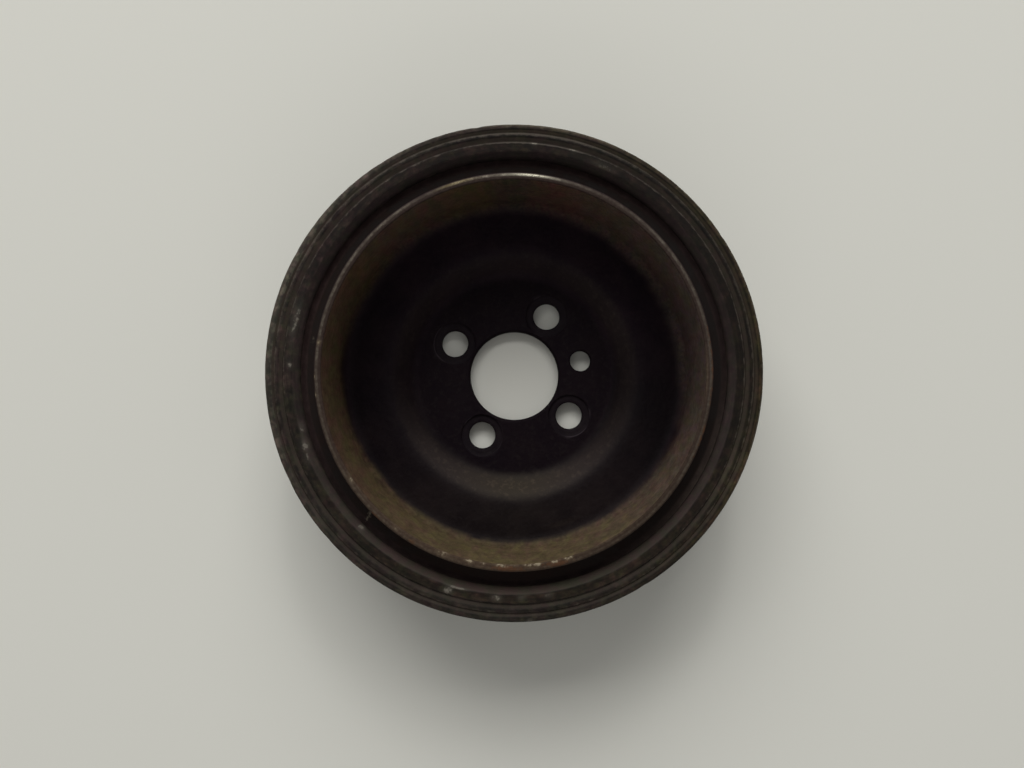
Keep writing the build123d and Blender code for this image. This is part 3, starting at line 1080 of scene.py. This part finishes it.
def rubber_band():
    """Bonded rubber: both ends dip in a quarter sine from their bonded edges to a flat middle."""
    share = np.linspace(0, 1, 33)
    across = WALL_RADIUS + (RING_BORE - WALL_RADIUS) * share
    inwards = np.clip(np.minimum(share, 1 - share) / DIP_SHARE, 0, 1)
    dip = RUBBER_DIP * np.sin(np.pi / 2 * inwards)
    lower = np.stack([across, RUBBER_REAR + dip], -1)
    upper = np.stack([across, RUBBER_FRONT - dip], -1)[::-1]
    points = np.concatenate([lower, upper])
    return made_piece(
        "rubber_band",
        carried_round(points, RUBBER_STEPS),
        grid_quads(len(points), RUBBER_STEPS),
        material=rubber_finish,
        slot="damper_rubber",
        node="rubber_ring",
        dust=dabs(points, even_turns(RUBBER_STEPS), RUBBER_DUST),
    )


# ------------------------------------------------------------------ pulley ring
RING_STEPS = 600
# pale dust and rubbed places on the ring, rows as for the lip
RING_DUST = [
    (166.8, 67.5, 41.0, 6.0, 1.1, 0.42),
    (178.2, 67.4, 40.9, 1.2, 0.8, 0.45),
    (194.5, 66.0, 40.2, 1.6, 0.8, 0.75),
    (199.2, 66.4, 40.6, 2.0, 0.9, 0.7),
    (203.0, 67.2, 40.8, 2.6, 0.9, 0.25),
    (225.8, 65.4, 39.6, 0.9, 1.2, 0.7),
    (253.3, 68.2, 41.0, 1.3, 0.9, 1.0),
    (255.6, 66.8, 40.93, 3.2, 0.28, 0.9),
    (265.7, 67.9, 41.0, 1.6, 0.8, 0.85),
    (272.0, 67.8, 41.0, 1.2, 0.7, 0.8),
    (279.0, 67.8, 41.0, 1.4, 0.7, 0.6),
    (84.8, 69.4, 41.0, 1.0, 0.4, 1.0),
    (74.7, 69.4, 41.0, 1.0, 0.4, 1.0),
    (66.2, 67.8, 41.0, 4.0, 0.9, 0.3),
    (336.5, 70.6, 40.4, 0.7, 0.5, 1.0),
    (273.7, 74.7, 40.9, 0.9, 0.5, 0.9),
    (215.0, 72.6, 40.8, 6.0, 1.2, 0.15),
]
# nicks in the rim, rows as for the lip, the last value a depth
RIM_NICKS = [
    (98.5, 74.9, 41.0, 1.2, 0.9, 0.35),
    (122.0, 74.9, 41.0, 1.0, 0.7, 0.2),
    (151.0, 74.9, 41.0, 1.4, 0.7, 0.2),
    (33.0, 74.9, 41.0, 1.0, 0.8, 0.25),
    (206.0, 74.9, 41.0, 1.8, 0.8, 0.25),
    (222.0, 74.9, 41.0, 1.2, 0.8, 0.2),
    (301.0, 74.9, 41.0, 1.4, 0.8, 0.2),
]
RAGGED = 0.03  # depth of the fine waves in the rim
RIM_REACH = 0.8  # how far in from the rim they reach
# the front face from the rim inwards, rows of (radius, height, rounding, wear)
RING_FACE = [
    (RIM_RADIUS, RING_FRONT, 0.7, 1.0),
    (73.55, RING_FRONT, 0.3, 0.1),
    (72.45, 40.5, 0.2, 0),
    (72.15, RING_FRONT, 0.25, 1.0),
    (71.2, RING_FRONT, 0.3, 0.1),
    (69.7, 40.3, 0.25, 0),
    (69.4, RING_FRONT, 0.3, 0.9),
    (68.8, RING_FRONT, 0, 0),
    (67.4, RING_FRONT, 0, 0),
    (RING_BORE + FRONT_CHAMFER, RING_FRONT, 0.5, 0.2),
    (66.3, 40.5, 0, 0),
    (RING_BORE, RING_FRONT - FRONT_CHAMFER, 0, 0),
]
RING_BACK = [
    (RING_BORE, RING_REAR + REAR_CHAMFER, 0, 0),
    (RING_BORE + REAR_CHAMFER, RING_REAR, 0.3, 0.4),
    (RIM_RADIUS, RING_REAR, 0.4, 0.6),
]


def belt_track():
    """Corners of the belt track from the rear flange to the front one, rows as for the face.

    Each groove is its root between two crests; at the ends the walls run on up to the flanges.
    """
    half = GROOVE_OPENING / 2
    track = []
    for k in range(BELT_GROOVES):
        middle = TRACK_MIDDLE + (k - (BELT_GROOVES - 1) / 2) * GROOVE_PITCH
        track += [
            (CREST_RADIUS, middle - half, 0.12, 0.5),
            (ROOT_RADIUS, middle - ROOT_WIDTH / 2, 0.2, 0),
            (ROOT_RADIUS, middle + ROOT_WIDTH / 2, 0.2, 0),
            (CREST_RADIUS, middle + half, 0.12, 0.5),
        ]
    track[0] = (RIM_RADIUS, track[0][1] - FLANGE_RUN, 0.35, 0.8)
    track[-1] = (RIM_RADIUS, track[-1][1] + FLANGE_RUN, 0.35, 0.8)
    return track


def belt_ring():
    """Cast pulley ring: its back, belt track and face as one section turned about the axis.

    Along the rim it is cut back by nicks and by fine waves, which fade by a bell curve from the edge.
    """
    corners = np.array([*RING_BACK, *belt_track(), *RING_FACE], float)
    points, places = rounded_section(corners[:, :3], spacing=2.2, arc_step=36.0)
    wear = corner_wear(points, places, strengths=corners[:, 3], reach=0.35)
    turn = even_turns(RING_STEPS)
    from_rim = np.linalg.norm(points - (RIM_RADIUS, RING_FRONT), axis=1) / RIM_REACH
    waves = 1 + wander(turn, seed=11, slowest=20, fastest=150)
    ragged = RAGGED * waves * np.exp(-(from_rim**2))[:, None]
    grid = carried_round(points, RING_STEPS, -dabs(points, turn, RIM_NICKS) - np.abs(ragged))
    return made_piece(
        "belt_ring",
        grid,
        grid_quads(len(points), RING_STEPS),
        material=ring_finish,
        slot="ring_iron",
        node="pulley_ring",
        dust=dabs(points, turn, RING_DUST),
        wear=np.repeat(wear, RING_STEPS),
    )


hub_shell()
rubber_band()
belt_ring()


# ------------------------------------------------------------------ floor, light and camera
FLOOR_HALF = 2.5  # metres, as all sizes from here on
FLOOR_HEIGHT = -0.0001
CUP_MIDDLE = 0.03  # height that the lights aim at
EVEN_LIGHT, BACKDROP = (0.27, 0.27, 0.27, 1.0), (0.52, 0.52, 0.50, 1.0)
CAMERA_PLACE = (-0.008698, -0.007462, 0.320561)
CAMERA_RIGHT = (0.476243, -0.879256, -0.010109)
CAMERA_UP = (0.879117, 0.475862, 0.026598)
CAMERA_BACK = (-0.018576, -0.021554, 0.999595)
SENSOR_WIDTH, FOCAL_LENGTH = 36.0, 32.745  # millimetres, as Blender counts them
NEAREST, FARTHEST = 0.01, 20.0


def in_scene(name, data):
    """A new object of the scene that holds the data."""
    made = bpy.data.objects.new(name, data)
    bpy.context.scene.collection.objects.link(made)
    return made


def plain_floor():
    """A plain pale floor under the part: one quad, a square about the axis."""
    mesh = bpy.data.meshes.new("floor")
    signs = ((-1, -1), (1, -1), (1, 1), (-1, 1))
    corners = [(FLOOR_HALF * x, FLOOR_HALF * y, FLOOR_HEIGHT) for x, y in signs]
    mesh.from_pydata(corners, [], [(0, 1, 2, 3)])
    material = bpy.data.materials.new("pale_floor")
    material.use_nodes = True
    look = {"Base Color": paint(214, 213, 204), "Roughness": 0.9, "Specular IOR Level": 0.3}
    Wiring(material.node_tree).feed(material.node_tree.nodes["Principled BSDF"], look)
    mesh.materials.append(material)
    floor = in_scene("floor", mesh)


def soft_light(name, seen, elevation, distance, width, length, share):
    """A rectangular soft light at a seen angle and an elevation over the face, aimed at the cup.

    share is the light it gives a surface that faces the camera, where 1 shows a colour as written.
    """
    turn, rise = np.radians(seen - SEEN_TURN), np.radians(elevation)
    towards = np.array([np.cos(turn) * np.cos(rise), np.sin(turn) * np.cos(rise), np.sin(rise)])
    data = bpy.data.lights.new(name, "AREA")
    data.shape, data.size, data.size_y = "RECTANGLE", width, length
    data.energy = share * np.pi**2 * distance**2 / np.sin(rise)
    side = np.cross([0, 0, 1.0], towards)
    side /= np.linalg.norm(side)
    turned = Matrix(np.stack([side, np.cross(towards, side), towards], -1).tolist()).to_4x4()
    lamp = in_scene(name, data)
    lamp.matrix_world = Matrix.Translation(towards * distance + [0, 0, CUP_MIDDLE]) @ turned


def room(light, backdrop):
    """An even room: light falls on the part at one level, and what the camera and gloss see differs."""
    world = bpy.data.worlds.new("room")
    world.use_nodes = True
    wire = Wiring(world.node_tree)
    rays = wire.node("LightPath").outputs
    plainly = wire.math("MAXIMUM", rays["Is Camera Ray"], rays["Is Glossy Ray"])
    plainly = wire.math("MAXIMUM", plainly, rays["Is Transmission Ray"])
    wire.feed(world.node_tree.nodes["Background"], {"Color": wire.mix(plainly, light, backdrop)})
    bpy.context.scene.world = world


def camera():
    """The camera, looking down into the cup from a little off its axis."""
    data = bpy.data.cameras.new("camera")
    data.sensor_width, data.lens = SENSOR_WIDTH, FOCAL_LENGTH
    data.clip_start, data.clip_end = NEAREST, FARTHEST
    made = in_scene("camera", data)
    turned = Matrix((CAMERA_RIGHT, CAMERA_UP, CAMERA_BACK)).transposed().to_4x4()
    made.matrix_world = Matrix.Translation(CAMERA_PLACE) @ turned
    return made


plain_floor()
room(EVEN_LIGHT, BACKDROP)
soft_light("key_light", seen=98, elevation=38, distance=2.4, width=2.4, length=1.5, share=0.58)
soft_light("window", seen=87, elevation=38, distance=2.4, width=0.24, length=0.4, share=0.05)
soft_light("table_bounce", seen=270, elevation=30, distance=2.0, width=2.0, length=1.0, share=0.06)
bpy.context.scene.camera = camera()
bpy.context.scene.view_settings.view_transform = "Standard"
